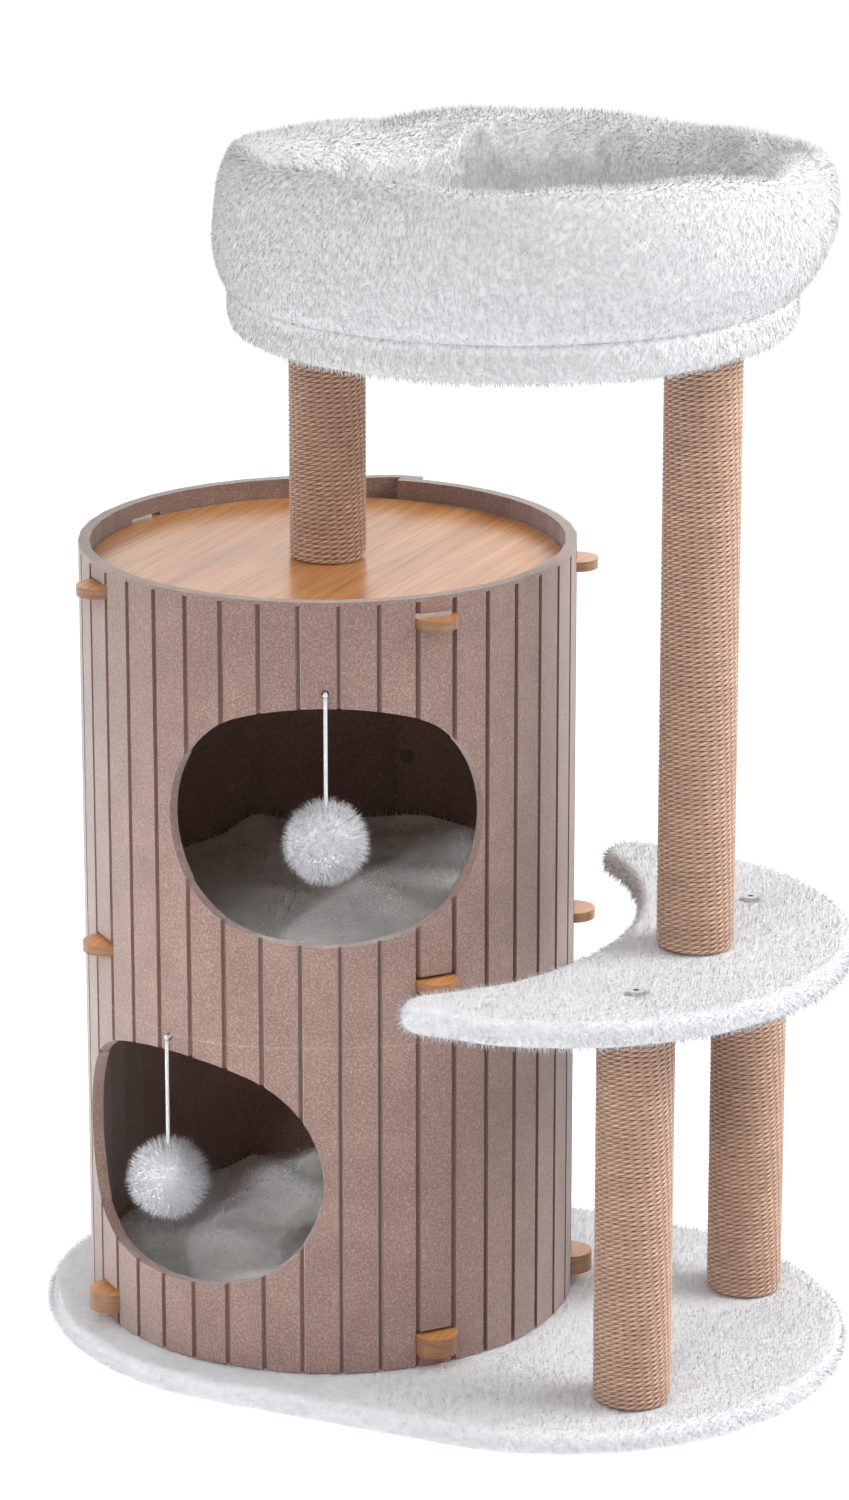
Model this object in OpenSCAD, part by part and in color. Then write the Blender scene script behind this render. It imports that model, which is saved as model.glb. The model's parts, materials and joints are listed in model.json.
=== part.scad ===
// Cat tree: a round felt den with two rooms, a crescent step and a plush bed,
// carried by jute-wrapped posts on a plush-covered base.
// Origin: centre of the footprint, on the floor. +X runs from the den to the posts.

/* [Base] */
// Thickness of the base board
base_board_t = 15; // [12:1:25]
// Thickness of the plush glued over the base board
base_plush_t = 5; // [3:0.5:8]
// How far the base stands out past the den
base_margin = 33; // [25:1:60]

/* [Den] */
// Outside diameter of the felt wall
den_d = 400; // [320:1:500]
// Height of the felt wall
den_h = 640; // [620:1:800]
// Thickness of the felt
felt_t = 9; // [6:0.5:12]
// Number of flat strips round the wall
strip_count = 40; // [32:4:48]
// Depth of the grooves that let the felt bend
groove_depth = 3; // [1.5:0.25:4]
// Width of a groove at the face of the felt
groove_w = 4.4; // [3:0.2:6]
// Plain felt left above the grooves
groove_stop = 3; // [2:0.5:6]
// Turn of the den about its own axis
den_turn = 4.8; // [-10:0.1:10]
// Overlap of the two ends of the felt at the back
lap_w = 16; // [12:1:20]

/* [Den boards] */
// Thickness of the bottom board
bottom_board_t = 16; // [10:1:20]
// Thickness of the middle and top boards
thin_board_t = 8; // [6:0.5:12]
// Gap under the bottom board, held by spacers
spacer_h = 11; // [8:1:16]
// Height of the lower room, from board top to board top
lower_room_h = 301; // [290:1:380]
// Height of the upper room, from board top to board top
upper_room_h = 296; // [285:1:380]
// Gap between a board's rim and the felt
board_gap = 1; // [0.5:0.25:3]
// Width of a rounded tab that comes out through the felt
tab_w = 35; // [26:1:44]
// Slack in a tab's slot, across the tab
slot_slack_w = 1; // [0.5:0.25:3]
// Slack in a tab's slot, above the tab
slot_slack_h = 3; // [1:0.5:5]
// Thickness of the plush floor mats
mat_t = 6; // [4:1:12]

/* [Doorways] */
// Width of a doorway, along the felt
door_w = 265; // [200:1:300]
// Height of a doorway
door_h = 195; // [150:1:200]
// Radius of a doorway's round ends, as a share of its half height
door_end = 0.94; // [0.8:0.01:0.97]
// Turn of each doorway away from the front of the den, in degrees
door_turn = 19.5; // [18:0.5:24]
// Height of the lower sill above the bottom board
lower_sill = 37; // [30:1:60]
// Height of the upper sill above the middle board
upper_sill = 32; // [30:1:60]

/* [Posts] */
// Outside diameter of the paper tube
tube_d = 54; // [46:1:62]
// Wall of the paper tube
tube_wall = 3; // [2:0.5:4]
// Thickness of the jute rope
rope_d = 4; // [3:0.5:6]
// Length of the two lower posts
lower_post_len = 316; // [280:1:380]
// Length of the tall post
tall_post_len = 488; // [420:1:620]
// Distance between the two lower posts
lower_post_gap = 250; // [200:1:280]
// Length of the wooden plug in each end of a post
plug_len = 20; // [16:1:30]

/* [Crescent step] */
// Thickness of the step's board
step_board_t = 15; // [12:1:20]
// Thickness of the plush round the step's board
step_plush_t = 4.5; // [3:0.5:6]
// Gap between the step and the felt wall
step_gap = 55; // [40:1:70]
// Depth of the step at its middle
step_depth = 183; // [160:1:240]
// Radius of the step's rounded horns
horn_r = 23; // [16:1:30]
// Distance from the step's inner edge to a post
post_edge = 34; // [25:1:45]

/* [Bed] */
// Diameter of the bed's plush-covered bottom
bed_d = 444; // [420:1:560]
// Height of the bed's plush-covered bottom
bed_cover_h = 33; // [30:1:45]
// Thickness of the plush on the bed's bottom
bed_plush_t = 4; // [3:0.5:6]
// Thickness of the bed's board
bed_board_t = 15; // [12:1:18]
// Width of the bolster where it is sewn to the bottom
bolster_w = 56; // [40:1:70]
// Height of the bolster
bolster_h = 109; // [80:1:140]
// How far the bolster bulges past the bottom
bolster_bulge = 20; // [10:1:30]
// Thickness of the loose cushion
cushion_t = 24; // [15:1:40]

/* [Toys] */
// Diameter of a pompom
pompom_d = 68; // [50:1:80]
// Diameter of the elastic cord
cord_d = 3; // [2:0.5:4]
// Length of cord from its hole to the pompom
cord_len = 85; // [60:1:100]
// Height of a cord hole above its doorway
cord_hole_up = 12; // [10:1:15]
// Diameter of a cord hole
cord_hole_d = 6; // [5:0.5:8]

/* [Fasteners] */
// Diameter of the large bolts
bolt_d = 8; // [6:1:8]
// Diameter of a large bolt's head
bolt_head_d = 14; // [12:1:16]
// Height of a large bolt's head
bolt_head_h = 4.5; // [3:0.5:5]
// Diameter of the small bolts under the den
den_bolt_d = 6; // [4:1:6]
// Play round a bolt in a board
bolt_play = 0.5; // [0.2:0.1:1]
// Rivets that close the lap of the felt, in each room
room_rivets = 2; // [1:1:4]

/* [Hidden] */
$fn = 96;
eps = 0.01;
touch = 0.05;
den_r = den_d / 2;
pitch = 360 / strip_count;
strip_w = 2 * den_r * sin(pitch / 2);
flat_r = den_r * cos(pitch / 2);
lap_air = 0.3;
groove_floor_w = groove_w / 2;
tab_angles = [45, -45, 108, -108];
door_r = door_end * door_h / 2;
// Radius of the flatter curve over the top of a doorway, which meets the round ends smoothly
door_top_r = ((door_w * door_w + door_h * door_h) / 4 - door_w * door_r) / (door_h - 2 * door_r);

base_t = base_board_t + base_plush_t;
end_r = den_r + base_margin;
step_in_r = den_r + step_gap;
span = step_in_r + step_depth - end_r;
den_x = -span / 2;

bottom_board_z = base_t + spacer_h;
bottom_top = bottom_board_z + bottom_board_t;
middle_top = bottom_top + lower_room_h;
top_top = middle_top + upper_room_h;
board_r = (den_r - felt_t) * cos(pitch / 2) - board_gap;
mat_r = board_r - 3;
mat_drop = 1;

post_r = tube_d / 2 + rope_d;
plug_r = tube_d / 2 - tube_wall - touch;
post_x = den_x + step_in_r + post_edge + post_r;
step_z = base_t + lower_post_len;
step_t = step_board_t + 2 * step_plush_t;
step_top = step_z + step_t;
bed_z = step_top + tall_post_len;
den_post_len = bed_z - top_top;
bed_x = (den_x + post_x) / 2;
bed_r = bed_d / 2;
bed_board_r = bed_r - bed_plush_t - 6;
bed_board_z = bed_z + bed_plush_t;
bed_foam_t = bed_cover_h - bed_plush_t - bed_board_t;
bed_top = bed_z + bed_cover_h;
bed_edge_r = 14;
cushion_r = bed_r - bolster_w - 1.5;

washer_t = 1.5;
washer_d = bolt_head_d + 6;
head_sink = bolt_head_h + washer_t + 0.5;
hole_d = bolt_d + 2 * bolt_play;
sink_d = washer_d + 1;
plug_bore_d = bolt_d + 0.1;
den_bolt_head_d = den_bolt_d * 1.8;
den_bolt_head_h = 4;
den_bolt_ring = board_r * 0.6;
rivet_r = 2;
rivet_head_r = 6;
rivet_head_t = 1.5;

lower_posts = [[post_x, -lower_post_gap / 2], [post_x, lower_post_gap / 2]];
// Toys: height of the cord hole and turn round the den, lower toy first
door_mid_z = [bottom_top + lower_sill + door_h / 2, middle_top + upper_sill + door_h / 2];
door_angle = [den_turn - door_turn, den_turn + door_turn];
cord_hole_z = [for (z = door_mid_z) z + door_h / 2 + cord_hole_up];
cord_stand = 4;
cord_tip_r = 2;
cord_r = cord_d / 2;
pivot_r = flat_r + cord_stand;
// The cord runs on to the middle of its pompom, where it is tied
cord_end = cord_len + pompom_d / 2;
// Points of a hanging cord, measured down from its pivot
cord_route = [[0, 0, -2.4], [0, 0, -10], [0, 0, -20], [0, 0, -30], [0, 0, -40], [0, 0, -50],
              [0, 0, -60], [0, 0, -70], [0, 0, -80], [0, 0, -90], [0, 0, -100], [0, 0, -110]];

// ---- Shared shapes ----

// Point at radius r and turn a, where a = 0 faces -Y and grows towards +X
function around(r, a) = [r * sin(a), -r * cos(a)];

// Points of an arc about c, from turn a0 to a1
function arc(c, r, a0, a1, n) = [for (i = [0:n]) c + around(r, a0 + (a1 - a0) * i / n)];

// Outline with two round ends, set in from the full size
module stadium(inset) {
    r = end_r - inset;
    polygon(concat(arc([span / 2, 0], r, 0, 180, 48), arc([-span / 2, 0], r, 180, 360, 48)));
}

// Crescent outline: the base's own end arc outside, a curve round the den inside, round horns
module crescent(inset) {
    outer_r = end_r - inset;
    inner_r = step_in_r + inset;
    tip_r = horn_r - inset;
    reach_in = step_in_r + horn_r;
    reach_out = end_r - horn_r;
    horn_x = (reach_in * reach_in - reach_out * reach_out + span * span) / (2 * span);
    horn_y = sqrt(reach_in * reach_in - horn_x * horn_x);
    // Turns at which the horn's round meets the outer and the inner arc
    out_turn = atan2(horn_x - span, horn_y);
    in_turn = atan2(horn_x, horn_y);
    horn = [horn_x, -horn_y];
    back = [horn_x, horn_y];
    translate([den_x, 0])
        polygon(concat(
            arc([span, 0], outer_r, out_turn, 180 - out_turn, 64),
            arc(back, tip_r, 180 - out_turn, 360 - in_turn, 16),
            arc([0, 0], inner_r, 180 - in_turn, in_turn, 40),
            arc(horn, tip_r, in_turn - 180, out_turn, 16)));
}

// Bolt with a round head below and its shank going up
module bolt(d, head_d, head_h, length) {
    difference() {
        cylinder(d = head_d, h = head_h);
        translate([0, 0, -eps])
            cylinder(d = d * 0.65, h = head_h * 0.6, $fn = 6);
    }
    translate([0, 0, head_h])
        cylinder(d = d, h = length);
}

// Ring on a post's axis
module ring(r_out, r_in, h) {
    difference() {
        cylinder(r = r_out, h = h);
        translate([0, 0, -1])
            cylinder(r = r_in, h = h + 2);
    }
}

// Moves its children to the den's axis, turned with the den
module at_den() {
    translate([den_x, 0, 0])
        rotate([0, 0, den_turn])
            children();
}

// Moves its children to each small bolt under the den
module at_den_bolts() {
    for (i = [0:2])
        translate([den_x, 0, 0])
            rotate([0, 0, 60 + 120 * i])
                translate([0, -den_bolt_ring, 0])
                    children();
}

// Moves its children to each lower post's axis
module at_lower_posts() {
    for (p = lower_posts)
        translate([p[0], p[1], 0])
            children();
}

// Moves its children to the axes of the two posts under the bed
module at_bed_posts() {
    for (x = [den_x, post_x])
        translate([x, 0, 0])
            children();
}

// ---- Base ----

module base_board() {
    color("burlywood")
        difference() {
            linear_extrude(base_board_t)
                stadium(base_plush_t);
            at_lower_posts() {
                translate([0, 0, -1])
                    cylinder(d = sink_d, h = head_sink + 1);
                translate([0, 0, -1])
                    cylinder(d = hole_d, h = base_t);
            }
            at_den_bolts() {
                translate([0, 0, -1])
                    cylinder(d = den_bolt_head_d + 1, h = den_bolt_head_h + 1.5);
                translate([0, 0, -1])
                    cylinder(d = den_bolt_d + 2 * bolt_play, h = base_t);
            }
        }
}

module base_plush() {
    color("white")
        difference() {
            translate([0, 0, 1])
                linear_extrude(base_t - 1)
                    stadium(0);
            linear_extrude(base_board_t)
                stadium(base_plush_t);
            at_lower_posts()
                cylinder(d = hole_d, h = base_t + 1);
            at_den_bolts()
                cylinder(d = den_bolt_d + 2 * bolt_play, h = base_t + 1);
        }
}

// ---- Den ----

module den_spacers() {
    color("sandybrown")
        at_den_bolts()
            translate([0, 0, base_t])
                ring(den_bolt_d * 2, den_bolt_d / 2 + bolt_play, spacer_h);
}

module den_bolts() {
    color("silver")
        at_den_bolts()
            translate([0, 0, 0.5])
                bolt(den_bolt_d, den_bolt_head_d, den_bolt_head_h,
                     bottom_board_z + bottom_board_t * 0.7 - den_bolt_head_h);
}

// Round board with rounded tabs that come out through the felt
module tab_board(t) {
    linear_extrude(t) {
        circle(r = board_r);
        for (a = tab_angles)
            rotate(a) {
                translate([-tab_w / 2, -flat_r])
                    square([tab_w, flat_r / 2]);
                translate([0, -flat_r])
                    circle(d = tab_w);
            }
    }
}

module bottom_board() {
    color("peru")
        difference() {
            translate([0, 0, bottom_board_z])
                at_den()
                    tab_board(bottom_board_t);
            at_den_bolts()
                cylinder(d = den_bolt_d + 0.1, h = bottom_board_z + bottom_board_t * 0.8);
        }
}

module middle_board() {
    color("peru")
        translate([0, 0, middle_top - thin_board_t])
            at_den()
                tab_board(thin_board_t);
}

module top_board() {
    color("peru")
        difference() {
            translate([0, 0, top_top - thin_board_t])
                at_den()
                    tab_board(thin_board_t);
            translate([den_x, 0, top_top - thin_board_t - 1])
                cylinder(d = hole_d, h = thin_board_t + 2);
        }
}

module floor_mat(z) {
    translate([den_x, 0, z])
        cylinder(r = mat_r, h = mat_t);
}

module bottom_mat() {
    color("ivory")
        floor_mat(bottom_top);
}

module middle_mat() {
    color("ivory")
        floor_mat(middle_top);
}

// Turns of the grooves, from one end of the felt round to the other
groove_turns = [for (k = [-strip_count / 2 + 2 : strip_count / 2]) (k - 0.5) * pitch];

// Point beside the lap: u along the felt, n out from the den's axis
function at_lap(u, n) = around(n, 180) + [-u, 0];

// Outline of the rolled felt; its far end passes behind its near end at the back
module felt_plan(depth) {
    half_w = groove_w / 2 / den_r * 180 / PI;
    half_floor = groove_floor_w / 2 / den_r * 180 / PI;
    flap_n = flat_r + felt_t + lap_air;
    flap_u = strip_w / 2 - 1.5;
    outer = [for (a = groove_turns)
                for (p = [[den_r, -half_w], [den_r - depth, -half_floor],
                          [den_r - depth, half_floor], [den_r, half_w]])
                    around(p[0], a + p[1])];
    inner = [for (i = [len(groove_turns) - 1 : -1 : 0]) around(den_r - felt_t, groove_turns[i])];
    polygon(concat(
        [at_lap(-lap_w / 2, flap_n), at_lap(flap_u, flap_n)],
        outer,
        [at_lap(lap_w / 2, flat_r), at_lap(lap_w / 2, flat_r - felt_t)],
        inner,
        [at_lap(flap_u, flap_n - felt_t), at_lap(-lap_w / 2, flap_n - felt_t)]));
}

// Outline of a doorway, laid flat: an oval of four arcs
module door_outline() {
    end_x = door_w / 2 - door_r;
    rise = door_top_r - door_h / 2;
    meet_x = end_x + door_r * end_x / (door_top_r - door_r);
    for (x = [-end_x, end_x])
        translate([x, 0])
            circle(r = door_r);
    intersection() {
        translate([0, -rise])
            circle(r = door_top_r);
        translate([0, rise])
            circle(r = door_top_r);
        square([2 * meet_x, door_h + 2], center = true);
    }
}

// A doorway cut square through each flat strip that it crosses
module doorway(turn, z) {
    reach = door_w / strip_w / 2 + 0.5;
    middle = (turn - den_turn) / pitch;
    for (k = [ceil(middle - reach) : floor(middle + reach)])
        rotate([0, 0, den_turn + k * pitch])
            translate([0, -flat_r + felt_t * 2, z])
                rotate([90, 0, 0])
                    linear_extrude(felt_t * 4)
                        intersection() {
                            translate([(middle - k) * strip_w, 0])
                                door_outline();
                            square([strip_w + 0.8, door_h + 2], center = true);
                        }
}

// A slot for one tab, with slack above it
module tab_slot(turn, z, t) {
    rotate([0, 0, turn])
        translate([-tab_w / 2 - slot_slack_w / 2, -flat_r - felt_t, z])
            cube([tab_w + slot_slack_w, felt_t * 3, t + slot_slack_h]);
}

// Heights of the rivets, spread between the boards of each room
rivet_heights = [for (room = [[bottom_top, lower_room_h], [middle_top, upper_room_h]])
                    for (i = [0 : room_rivets - 1])
                        room[0] + (room[1] - thin_board_t) * (i + 0.5) / room_rivets];

module felt_wall() {
    color("rosybrown")
        difference() {
            translate([0, 0, base_t])
                at_den() {
                    linear_extrude(den_h - groove_stop)
                        felt_plan(groove_depth);
                    translate([0, 0, den_h - groove_stop])
                        linear_extrude(groove_stop)
                            felt_plan(0);
                }
            translate([den_x, 0, 0]) {
                doorway(door_angle[0], door_mid_z[0]);
                doorway(door_angle[1], door_mid_z[1]);
            }
            at_den()
                for (a = tab_angles) {
                    tab_slot(a, bottom_board_z, bottom_board_t);
                    tab_slot(a, middle_top - thin_board_t, thin_board_t);
                    tab_slot(a, top_top - thin_board_t, thin_board_t);
                }
            for (i = [0, 1])
                translate([den_x, 0, cord_hole_z[i]])
                    rotate([90, 0, door_angle[i]])
                        translate([0, 0, flat_r - felt_t * 2])
                            cylinder(d = cord_hole_d, h = felt_t * 3);
            at_den()
                for (z = rivet_heights)
                    translate([0, flat_r - felt_t * 2, z])
                        rotate([-90, 0, 0])
                            cylinder(r = rivet_r + touch, h = felt_t * 4);
        }
}

module lap_rivets() {
    grip = 2 * felt_t + lap_air;
    color("dimgray")
        at_den()
            for (z = rivet_heights)
                translate([0, flat_r - felt_t, z])
                    rotate([-90, 0, 0]) {
                        translate([0, 0, -rivet_head_t])
                            cylinder(r = rivet_head_r, h = rivet_head_t);
                        cylinder(r = rivet_r, h = grip);
                        translate([0, 0, grip])
                            cylinder(r = rivet_head_r, h = rivet_head_t);
                    }
}

// ---- Posts ----

module post_tube(x, y, z, length) {
    color("tan")
        translate([x, y, z])
            ring(tube_d / 2, tube_d / 2 - tube_wall, length);
}

module post_jute(x, y, z, length) {
    color("peru")
        translate([x, y, z])
            ring(post_r, tube_d / 2 + touch, length);
}

module den_post_tube() { post_tube(den_x, 0, top_top, den_post_len); }
module den_post_jute() { post_jute(den_x, 0, top_top, den_post_len); }
module front_post_tube() { post_tube(post_x, -lower_post_gap / 2, base_t, lower_post_len); }
module front_post_jute() { post_jute(post_x, -lower_post_gap / 2, base_t, lower_post_len); }
module back_post_tube() { post_tube(post_x, lower_post_gap / 2, base_t, lower_post_len); }
module back_post_jute() { post_jute(post_x, lower_post_gap / 2, base_t, lower_post_len); }
module tall_post_tube() { post_tube(post_x, 0, step_top, tall_post_len); }
module tall_post_jute() { post_jute(post_x, 0, step_top, tall_post_len); }

// Two drilled plugs, one flush with each end of a post
module plug_pair(z, length) {
    for (z_plug = [z, z + length - plug_len])
        translate([0, 0, z_plug])
            ring(plug_r, plug_bore_d / 2, plug_len);
}

module post_plugs() {
    color("burlywood") {
        at_lower_posts()
            plug_pair(base_t, lower_post_len);
        translate([post_x, 0, 0])
            plug_pair(step_top, tall_post_len);
        translate([den_x, 0, 0])
            plug_pair(top_top, den_post_len);
    }
}

// ---- Crescent step ----

module step_board() {
    color("burlywood")
        difference() {
            translate([0, 0, step_z + step_plush_t])
                linear_extrude(step_board_t)
                    crescent(step_plush_t);
            for (y = [-lower_post_gap / 2, 0, lower_post_gap / 2])
                translate([post_x, y, step_z])
                    cylinder(d = hole_d, h = step_t);
            translate([post_x, 0, step_z])
                cylinder(d = sink_d, h = step_plush_t + head_sink);
        }
}

module step_plush() {
    color("white")
        difference() {
            translate([0, 0, step_z])
                linear_extrude(step_t)
                    crescent(0);
            translate([0, 0, step_z + step_plush_t])
                linear_extrude(step_board_t)
                    crescent(step_plush_t);
            for (y = [-lower_post_gap / 2, 0, lower_post_gap / 2])
                translate([post_x, y, step_z - 1])
                    cylinder(d = hole_d, h = step_t + 2);
            at_lower_posts()
                translate([0, 0, step_z + step_board_t])
                    cylinder(d = sink_d, h = step_t);
            translate([post_x, 0, step_z - 1])
                cylinder(d = sink_d, h = step_plush_t + 2);
        }
}

// ---- Fasteners ----

module base_bolts() {
    color("silver")
        at_lower_posts()
            translate([0, 0, head_sink - washer_t - bolt_head_h])
                bolt(bolt_d, bolt_head_d, bolt_head_h,
                     base_t + plug_len - 2 - head_sink + washer_t);
}

module step_bolts() {
    color("silver")
        at_lower_posts()
            translate([0, 0, step_z + step_plush_t + step_board_t + washer_t + bolt_head_h])
                rotate([180, 0, 0])
                    bolt(bolt_d, bolt_head_d, bolt_head_h,
                         washer_t + step_board_t + step_plush_t + plug_len - 2);
}

module tall_post_bolt() {
    color("silver")
        translate([post_x, 0, step_z + step_plush_t + head_sink - washer_t - bolt_head_h])
            bolt(bolt_d, bolt_head_d, bolt_head_h,
                 step_t + plug_len - 2 - step_plush_t - head_sink + washer_t);
}

module den_post_bolt() {
    color("silver")
        translate([den_x, 0, top_top - thin_board_t - washer_t - bolt_head_h])
            bolt(bolt_d, bolt_head_d, bolt_head_h, washer_t + thin_board_t + plug_len - 2);
}

module bed_bolts() {
    color("silver")
        at_bed_posts()
            translate([0, 0, bed_board_z + bed_board_t - head_sink + washer_t + bolt_head_h])
                rotate([180, 0, 0])
                    bolt(bolt_d, bolt_head_d, bolt_head_h,
                         washer_t + bed_board_t - head_sink + bed_plush_t + plug_len - 2);
}

module bolt_washers() {
    color("gainsboro") {
        at_lower_posts() {
            translate([0, 0, head_sink - washer_t])
                ring(washer_d / 2, bolt_d / 2 + touch, washer_t);
            translate([0, 0, step_z + step_plush_t + step_board_t])
                ring(washer_d / 2, bolt_d / 2 + touch, washer_t);
        }
        translate([post_x, 0, step_z + step_plush_t + head_sink - washer_t])
            ring(washer_d / 2, bolt_d / 2 + touch, washer_t);
        translate([den_x, 0, top_top - thin_board_t - washer_t])
            ring(washer_d / 2, bolt_d / 2 + touch, washer_t);
        at_bed_posts()
            translate([0, 0, bed_board_z + bed_board_t - head_sink])
                ring(washer_d / 2, bolt_d / 2 + touch, washer_t);
    }
}

// ---- Bed ----

module bed_board() {
    color("burlywood")
        difference() {
            translate([bed_x, 0, bed_board_z])
                cylinder(r = bed_board_r, h = bed_board_t);
            at_bed_posts() {
                translate([0, 0, bed_z])
                    cylinder(d = hole_d, h = bed_cover_h);
                translate([0, 0, bed_board_z + bed_board_t - head_sink])
                    cylinder(d = sink_d, h = head_sink + 1);
            }
        }
}

module bed_foam() {
    color("whitesmoke")
        translate([bed_x, 0, bed_board_z + bed_board_t])
            cylinder(r = bed_board_r, h = bed_foam_t);
}

// Plush tray round the board, with a rounded lower edge
module bed_cover() {
    wall_r = bed_board_r + touch;
    color("white")
        difference() {
            translate([bed_x, 0, bed_z])
                rotate_extrude()
                    union() {
                        square([bed_r - bed_edge_r, bed_cover_h]);
                        translate([0, bed_edge_r])
                            square([bed_r, bed_cover_h - bed_edge_r]);
                        translate([bed_r - bed_edge_r, bed_edge_r])
                            circle(r = bed_edge_r, $fn = 48);
                    }
            translate([bed_x, 0, bed_board_z])
                cylinder(r = wall_r, h = bed_cover_h);
            at_bed_posts()
                translate([0, 0, bed_z - 1])
                    cylinder(d = hole_d, h = bed_cover_h);
        }
}

// Half the bolster's width at a share h of its height: straight sides, then a round top
function bolster_half(h) = bolster_w / 2 * pow(1 - pow(max(0, (h - 0.55) / 0.45), 2.2), 1 / 2.2);

// Middle line of the bolster: it leans out from its seam and then stands up
function bolster_mid(h) = bed_r - bolster_w / 2 + bolster_bulge * (1 - pow(1 - min(h / 0.45, 1), 2));

// Point on the bolster's outer (side = 1) or inner (side = -1) face
function bolster_point(h, side) =
    [bolster_mid(h) + side * bolster_half(h), bed_top + h * bolster_h];

module bed_bolster() {
    color("white")
        translate([bed_x, 0, 0])
            rotate_extrude()
                polygon(concat(
                    [for (i = [0 : 20]) bolster_point(sin(i * 4.5), 1)],
                    [for (i = [19 : -1 : 0]) bolster_point(sin(i * 4.5), -1)]));
}

module bed_cushion() {
    crown = cushion_t * 0.35;
    color("ivory")
        translate([bed_x, 0, bed_top])
            rotate_extrude()
                polygon(concat(
                    [[0, 0], [cushion_r - 8, 0], [cushion_r, cushion_t * 0.3]],
                    [for (i = [0 : 8]) [cushion_r * (1 - 0.02 * i) * cos(i * 11.25),
                                        cushion_t - crown + crown * sin(i * 11.25)]]));
}

// ---- Toys ----

// Moves its children to a toy's pivot, just outside the felt, with -Y facing out
module at_pivot(i) {
    translate([den_x, 0, cord_hole_z[i]])
        rotate([0, 0, door_angle[i]])
            translate([0, -pivot_r, 0])
                children();
}

// Cord end through the wall: a knot inside, a rounded end outside, all round one axis
module toy_knot(i) {
    knot_r = cord_hole_d / 2 + 2;
    inside = cord_stand + felt_t;
    color("white")
        at_pivot(i)
            rotate([-90, 0, 0]) {
                sphere(r = cord_tip_r, $fn = 32);
                cylinder(r = cord_r, h = inside + 2);
                translate([0, 0, inside + 0.5])
                    cylinder(r = knot_r, h = knot_r);
            }
}

// Tube swept through the points of a route
module swept_cord(route, r, sides) {
    rings = len(route);
    points = [for (p = route)
                for (j = [0 : sides - 1])
                    [p[0] + r * cos(j * 360 / sides), p[1] + r * sin(j * 360 / sides), p[2]]];
    walls = [for (i = [0 : rings - 2])
                for (j = [0 : sides - 1])
                    let (k = (j + 1) % sides)
                        [i * sides + j, (i + 1) * sides + j, (i + 1) * sides + k, i * sides + k]];
    top = [[for (j = [0 : sides - 1]) j]];
    end = [[for (j = [sides - 1 : -1 : 0]) (rings - 1) * sides + j]];
    polyhedron(points, concat(top, walls, end));
}

module toy_cord(i) {
    route = [for (p = cord_route) if (p[2] > 1 - cord_end) p];
    color("white")
        at_pivot(i)
            swept_cord(concat(route, [[0, 0, -cord_end]]), cord_r, 8);
}

module toy_pompom(i) {
    color("white")
        at_pivot(i)
            difference() {
                translate([0, 0, -cord_end])
                    sphere(d = pompom_d);
                translate([0, 0, -cord_end])
                    cylinder(r = cord_r + touch, h = pompom_d);
            }
}

module lower_toy_knot() { toy_knot(0); }
module lower_toy_cord() { toy_cord(0); }
module lower_toy_pompom() { toy_pompom(0); }
module upper_toy_knot() { toy_knot(1); }
module upper_toy_cord() { toy_cord(1); }
module upper_toy_pompom() { toy_pompom(1); }

base_board();
base_plush();
den_spacers();
den_bolts();
bottom_board();
bottom_mat();
middle_board();
middle_mat();
top_board();
felt_wall();
lap_rivets();
den_post_tube();
den_post_jute();
front_post_tube();
front_post_jute();
back_post_tube();
back_post_jute();
tall_post_tube();
tall_post_jute();
post_plugs();
base_bolts();
step_board();
step_plush();
step_bolts();
tall_post_bolt();
den_post_bolt();
bolt_washers();
bed_board();
bed_foam();
bed_cover();
bed_bolts();
bed_bolster();
bed_cushion();
lower_toy_knot();
lower_toy_cord();
lower_toy_pompom();
upper_toy_knot();
upper_toy_cord();
upper_toy_pompom();
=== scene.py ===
import json
import math

import bmesh
import bpy
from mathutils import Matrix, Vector, geometry, noise


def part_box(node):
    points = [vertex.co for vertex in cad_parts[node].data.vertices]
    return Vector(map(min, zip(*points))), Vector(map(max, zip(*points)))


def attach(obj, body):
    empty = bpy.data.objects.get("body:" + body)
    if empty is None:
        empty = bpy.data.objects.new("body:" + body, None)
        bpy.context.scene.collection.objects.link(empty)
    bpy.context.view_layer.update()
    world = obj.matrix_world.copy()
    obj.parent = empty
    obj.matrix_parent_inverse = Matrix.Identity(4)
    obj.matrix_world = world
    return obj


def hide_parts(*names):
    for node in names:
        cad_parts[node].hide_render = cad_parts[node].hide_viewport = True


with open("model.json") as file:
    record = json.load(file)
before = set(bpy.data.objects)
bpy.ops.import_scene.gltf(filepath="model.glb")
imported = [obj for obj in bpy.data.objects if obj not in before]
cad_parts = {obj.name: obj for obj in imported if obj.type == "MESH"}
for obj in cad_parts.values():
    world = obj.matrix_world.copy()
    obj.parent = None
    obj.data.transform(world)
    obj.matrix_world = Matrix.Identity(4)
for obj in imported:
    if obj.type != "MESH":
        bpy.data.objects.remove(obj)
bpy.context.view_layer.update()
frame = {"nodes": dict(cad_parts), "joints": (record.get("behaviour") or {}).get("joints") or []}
scene = bpy.context.scene


# ---- Camera, floor and lights ----
# A long lens stands in front and to the right, looking slightly down on the tree.
# A white floor runs on to the horizon. Soft boxes stand right, left, behind and above in front,
# and a narrow one is aimed at the lower doorway.

camera_data = bpy.data.cameras.new("camera")
camera_data.lens = 130.41
camera_data.sensor_width = 36
camera_data.clip_end = 60
camera = bpy.data.objects.new("camera", camera_data)
camera.location = (1.6819, -3.8174, 1.7745)
camera_tilt = math.radians(17.07)
camera_turn = math.radians(24)
camera.rotation_euler = (math.radians(90) - camera_tilt, 0, camera_turn)
scene.collection.objects.link(camera)
scene.camera = camera
scene.view_settings.view_transform = "Standard"


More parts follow.
